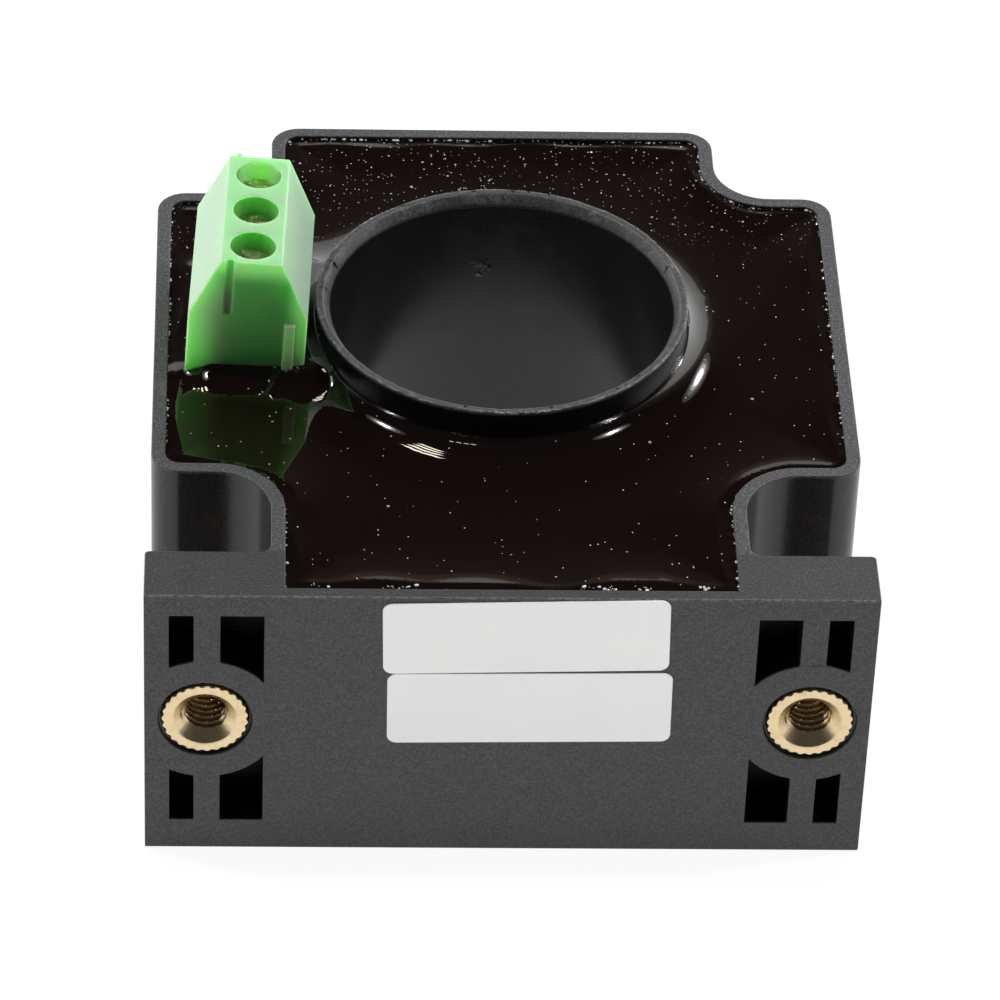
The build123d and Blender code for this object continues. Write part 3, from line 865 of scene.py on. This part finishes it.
def lip_mesh():
    """A flat ring of oval section that follows the resin's edge on the tube."""
    spine = tube_loop(tube_radius + 0.1 * mm, 0.3 * mm)
    heights = resin_height(spine)
    side = np.abs(spine[:, 0]) / tube_radius
    wavy = np.clip(0.8 + 0.5 * uneven(spine, 4 * mm, 2.0), 0.4, 1.2)
    size = 0.25 + 0.75 * np.clip((side - 0.38) / 0.25, 0, 1) * wavy
    turns = np.arange(12) * 2 * math.pi / 12
    shape = bmesh.new()
    rows = []
    for (a, b), h, s in zip(spine, heights, size):
        outward = Vector((a, b, 0)).normalized()
        out, up = outward * lip_width * s, Vector((0, 0, lip_rise * s))
        spot = Vector((a, b, h))
        rows.append([shape.verts.new(spot + out * math.cos(t) + up * math.sin(t)) for t in turns])
    skin(shape, rows, closed=True)
    bmesh.ops.recalc_face_normals(shape, faces=shape.faces)
    return smooth_mesh("resin_lip", shape)


lip = make_piece("resin_lip", lip_mesh(), resin)
print("lip faces", len(lip.data.polygons))

# %% [markdown]
# ## The threaded inserts
# Each insert is turned from brass, knurled round its flange, countersunk and tapped. All of that is one
# surface swept round an axis: for each ring of points there is a depth and a radius, and the radius may
# change with the angle. A cosine makes the knurl, and a triangle wave that climbs one pitch a turn makes
# the thread.

# %% Turn the inserts
knurl_count, knurl_depth = 27, 0.13 * mm
pitch, thread_depth, thread_steps = 0.7 * mm, 0.33 * mm, 84
thread_radius = mounts["mounting_inserts"]["dims"]["hole_r_mm"] * mm
insert_radius, waist_radius = 3.6 * mm, 3.2 * mm
insert_recess = 0.05 * mm
countersink_radius, countersink_depth = 2.65 * mm, 0.9 * mm


def thread_at(depth, turn):
    """The tapped hole's radius at a depth and an angle: sharp crests and wider valleys."""
    phase = (depth / pitch + turn / (2 * math.pi)) % 1
    return thread_radius + thread_depth * min(1, 1.25 * (1 - abs(2 * phase - 1)))


def insert_rings():
    """Depths and radii from the back of the flange round the front and down the tapped hole."""
    back, front = plate_thickness, insert_recess
    return [(back, insert_radius - 0.15 * mm, 0), (back - 0.15 * mm, insert_radius, 0),
            (3.6 * mm, insert_radius, 0), (3.6 * mm, waist_radius, 0), (2.2 * mm, waist_radius, 0),
            (2.2 * mm, insert_radius, 1), (front + 0.18 * mm, insert_radius, 1),
            (front + 0.05 * mm, insert_radius - 0.05 * mm, 1), (front, insert_radius - 0.16 * mm, 0.8),
            (front, insert_radius - 0.3 * mm, 0), (front, 3.0 * mm, 0),
            (front, countersink_radius + 0.12 * mm, 0), (front + 0.05 * mm, countersink_radius, 0)]


def make_insert(name, middle):
    segments = knurl_count * 8
    turns = [2 * math.pi * k / segments for k in range(segments)]
    rows = []
    for depth, radius, knurl in insert_rings():
        cut = knurl * knurl_depth
        rows.append([(depth, radius - cut * (0.5 + 0.5 * math.cos(knurl_count * t))) for t in turns])
    cone_slope = (countersink_radius - thread_radius) / countersink_depth
    mouth = insert_recess + 0.05 * mm
    for k in range(1, thread_steps + 1):
        depth = mouth + (plate_thickness - mouth) * k / thread_steps
        cone = countersink_radius - (depth - mouth) * cone_slope
        rows.append([(depth, max(cone, thread_at(depth, t))) for t in turns])
    shape = bmesh.new()
    grid = [[shape.verts.new((middle.x + r * math.cos(t), plate_front + d, middle.z + r * math.sin(t)))
             for (d, r), t in zip(row, turns)] for row in rows]
    skin(shape, grid, closed=True)
    bmesh.ops.recalc_face_normals(shape, faces=shape.faces)
    mesh = smooth_mesh(name, shape)
    mesh.set_sharp_from_angle(angle=math.radians(40))
    side = "left" if middle.x < 0 else "right"
    return make_piece(name, mesh, brass, replaces=[f"threaded_insert_{side}"])


# %% [markdown]
# Turned brass carries fine rings round its axis. The distance from the insert's axis, wrapped into thin bands and
# broken up with noise, gives that bump. The bore is browner than the faced front, and painted shade darkens the
# valleys of its thread.

# %% Write the brass and place the inserts
brass = Finish("insert_brass", (0.78, 0.62, 0.38), 0.24, Metallic=1.0)
x, y, z = brass.axes()
insert_x, insert_z = 25.0 * mm, mounts["mounting_inserts"]["pos_m"][2]
from_middle = (abs(x) - insert_x).hypot(z - insert_z)
patch = brass.noise(0.6 * mm, 4.0)
deep = y.ramp(plate_front + 0.7 * mm, plate_front + 2.4 * mm)
# painted shade: the valleys of the thread are made dark brown
painted_valley_shade = from_middle.ramp(1.70 * mm, 1.88 * mm) * y.ramp(plate_front + 1.0 * mm, plate_front + 1.3 * mm)
tarnish = patch.ramp(0.45, 0.8).mix(brass.colour, (0.68, 0.52, 0.30))
worn = deep.mix(tarnish, (0.80, 0.60, 0.38))
brass.set(Base_Color=painted_valley_shade.mix(worn, (0.22, 0.12, 0.05)), Roughness=patch * 0.22 + 0.18 - deep * 0.09)
brass.bump(from_middle.rings(0.12 * mm) * 0.25 + patch, 0.008 * mm)
for side, name in ((-1, "insert_left"), (1, "insert_right")):
    piece = make_insert(name, Vector((side * insert_x, 0, insert_z)))
    print(name, "faces", len(piece.data.polygons))

# %% [markdown]
# ## The labels
# Two white paper stickers lie on the plate, left bare here. Paper isn't perfectly flat or evenly white: its fibres
# show as very fine noise, and its cut edge is slightly rounded. A faint painted glow, a little bluish, makes the
# paper brighter than its light alone. The engineering sheet already has the right outline, so it is only softened.

# %% Make the labels
# painted glow: a faint bluish emission lifts the paper
paper = Finish("label_paper", (0.95, 0.95, 0.95), 0.55, Specular_IOR_Level=0.35,
               Emission_Color=(0.9, 0.95, 1), Emission_Strength=0.05)
blotch = paper.noise(6 * mm, 2.0).ramp(0.3, 0.75)
paper.set(Base_Color=blotch.mix((0.935, 0.935, 0.94), (0.955, 0.955, 0.95)))
paper.bump(paper.noise(0.25 * mm, 5.0), 0.012 * mm)
for place in ("upper", "lower"):
    label = f"label_{place}"
    soften(f"sticker_{place}", welded(label), 0.03 * mm, paper, replaces=[label])

# %% [markdown]
# ## The terminal block
# The block is moulded in a light green plastic that lets some light through: its thin edges glow, and its shadows
# stay green instead of turning grey. Subsurface scattering does that. Its radius is given for red, green and blue,
# and green travels furthest. All faces but the two ends also get a painted sheen, a pale milky haze that is palest
# on faces turned upwards. On the ends the plastic is thick and dark in the middle, and a painted glow makes it
# pale near the edges and on the rib, where it is thin. The wells of the screws were formed by polished pins, so
# they are glossier and deeper in colour, and a painted glow makes the end well pale on its side next to the thin
# end wall.

# %% Write the green plastic and soften the block
green = Finish("block_plastic", (0.14, 0.54, 0.12), 0.42, Subsurface_Weight=1.0,
               Subsurface_Scale=3.6 * mm, Subsurface_Radius=(0.2, 1.0, 0.17),
               Specular_IOR_Level=0.4, Coat_Weight=0.15, Coat_Roughness=0.45)
mottle, grain = green.noise(1.4 * mm, 3.0), green.noise(0.14 * mm, 2.0)
local = green.node("VectorMath", green.place, block_origin, operation="SUBTRACT").outputs[0]
facing = green.node("TexCoord").outputs["Normal"]


def along(vector, axis):
    """How far a vector reaches along one of the block's directions."""
    return green.value("VectorMath", vector, axis, operation="DOT_PRODUCT", output="Value")


u, v, w = [along(local, axis) for axis in (block_u, block_v, block_w)]
in_well = abs(u).ramp(2.0 * mm, 1.93 * mm) * w.ramp(13.62 * mm, 13.5 * mm) * abs(v).ramp(7.45 * mm, 7.35 * mm)
thick = mottle.ramp(0.3, 0.75).mix((0.115, 0.52, 0.10), (0.135, 0.55, 0.115))
# painted glow: the ends are pale near their sides, near the top and on the rib
painted_glow_sides = u.ramp(-0.8 * mm, -4.6 * mm) | u.ramp(2.9 * mm, 4.4 * mm)
painted_glow_edges = painted_glow_sides | w.ramp(11.2 * mm, 13.4 * mm) | v.ramp(-7.66 * mm, -7.8 * mm)
# painted sheen: a pale milky haze on all faces but the ends, palest on faces turned upwards
painted_sheen = along(facing, block_w).ramp(0.85, 0.98).mix((0.42, 0.61, 0.43), (0.31, 0.57, 0.31))
painted_sheen_faces = abs(along(facing, block_v)).ramp(0.75, 0.35)
skin_colour = painted_sheen_faces.mix(painted_glow_edges.mix(thick, (0.50, 0.84, 0.39)), painted_sheen)
# painted glow: the end well's side next to the thin end wall is pale
well_colour = v.ramp(5.6 * mm, 6.6 * mm).mix((0.20, 0.55, 0.16), (0.74, 0.71, 0.68))
green.set(Base_Color=in_well.mix(skin_colour, well_colour), Roughness=grain * 0.2 + 0.36 - in_well * 0.26)
green.bump(grain * (in_well * -0.8 + 1.0), 0.012 * mm)
block = "terminal_block"
soften("green_block", welded(block), 0.14 * mm, green, replaces=[block])

# %% [markdown]
# ## Screws, clamps and pins
# Inside the block, screws lift small cages that press the wires against contact bars. The screws are
# yellow-passivated steel, the cages are nickel plated and the bars are tinned. They share one way of
# writing a plated metal, with a different colour and a different wear for each.

# %% Write the plated metals
def plated(name, colour, dark, roughness, grain_size, relief=0.01 * mm):
    """Plated steel or copper: patchy colour, uneven gloss and fine scratches."""
    metal = Finish(name, colour, roughness, Metallic=1.0)
    patches = metal.noise(grain_size, 4.0)
    stretched = metal.node("Mapping", Vector=metal.place, Scale=(1, 0.12, 1)).outputs[0]
    metal.set(Base_Color=patches.ramp(0.35, 0.7).mix(colour, dark))
    metal.set(Roughness=patches * 0.2 + (roughness - 0.1))
    metal.bump(metal.noise(0.08 * mm, 3.0, stretched) * 0.6 + patches, relief)
    return metal


screw_metal = plated("screw_metal", (0.97, 0.88, 0.70), (0.60, 0.40, 0.22), 0.24, 0.8 * mm, 0.4 * mm)
clamp_metal = plated("clamp_metal", (0.72, 0.70, 0.64), (0.60, 0.57, 0.50), 0.34, 0.9 * mm)
tinned_metal = plated("tinned_metal", (0.78, 0.78, 0.76), (0.66, 0.66, 0.65), 0.38, 1.2 * mm)
for number in (1, 2, 3):
    screw, clamp, pin = f"terminal_screw_{number}", f"wire_clamp_{number}", f"terminal_pin_{number}"
    soften(f"slotted_screw_{number}", welded(screw), 0.09 * mm, screw_metal, screw, [screw])
    soften(f"clamp_cage_{number}", welded(clamp), 0.10 * mm, clamp_metal, clamp, [clamp])
    soften(f"contact_bar_{number}", welded(pin), 0.08 * mm, tinned_metal, replaces=[pin])

# %% [markdown]
# ## The pieces under the resin
# Nothing under the resin can be seen, but each piece still gets the finish of the real one, in case the
# resin is hidden in a cut-away. The iron core is wound from thin strip, so fine rings show on its ends, and
# the board carries a green lacquer over copper tracks.

# %% Finish the hidden pieces
core = Finish("core_steel", (0.42, 0.42, 0.44), 0.35, Metallic=1.0)
x, y = core.axes()[:2]
strips = x.hypot(y).rings(0.3 * mm)
core.set(Base_Color=strips.ramp(-0.2, 0.9).mix((0.20, 0.20, 0.22), core.colour))
core.bump(strips, 0.03 * mm)

laminate = Finish("board_laminate", (0.03, 0.20, 0.07), 0.3)
tracks = laminate.value("TexVoronoi", Vector=laminate.place, Scale=1 / (3.2 * mm), feature="DISTANCE_TO_EDGE")
tracks = tracks.ramp(0.06, 0.09)
laminate.set(Base_Color=tracks.mix((0.09, 0.30, 0.08), laminate.colour))
laminate.bump(tracks, -0.03 * mm)


def grained(name, colour, lighter, roughness, grain_size, metallic=0.0):
    """A plain moulded or drawn surface with a fine grain of two close colours."""
    made = Finish(name, colour, roughness, Metallic=metallic)
    grains = made.noise(grain_size, 3.0)
    made.set(Base_Color=grains.ramp(0.3, 0.75).mix(colour, lighter))
    made.bump(grains, 0.01 * mm)
    return made


chip = grained("chip_plastic", (0.025, 0.025, 0.027), (0.045, 0.045, 0.048), 0.5, 0.12 * mm)
trimmer = grained("trimmer_plastic", (0.03, 0.11, 0.42), (0.05, 0.15, 0.50), 0.4, 0.2 * mm)
can = grained("capacitor_can", (0.66, 0.67, 0.69), (0.78, 0.79, 0.80), 0.3, 0.4 * mm, 1.0)
ceramic = grained("chip_ceramic", (0.42, 0.33, 0.22), (0.55, 0.45, 0.33), 0.55, 0.1 * mm)
hidden = {
    "magnetic_core": core, "circuit_board": laminate, "hall_element": chip,
    "hall_element_leads": tinned_metal, "amplifier_chip": chip, "voltage_regulator": chip,
    "polarity_diode": chip, "offset_trimmer": trimmer, "gain_trimmer": trimmer, "supply_capacitor": can,
    "filter_capacitor": can, "resistors": ceramic, "ceramic_capacitors": ceramic,
}
for name, finish in hidden.items():
    for slot in nodes[name].material_slots:
        slot.material = finish.material
print("finished under the resin:", len(hidden))

# %% [markdown]
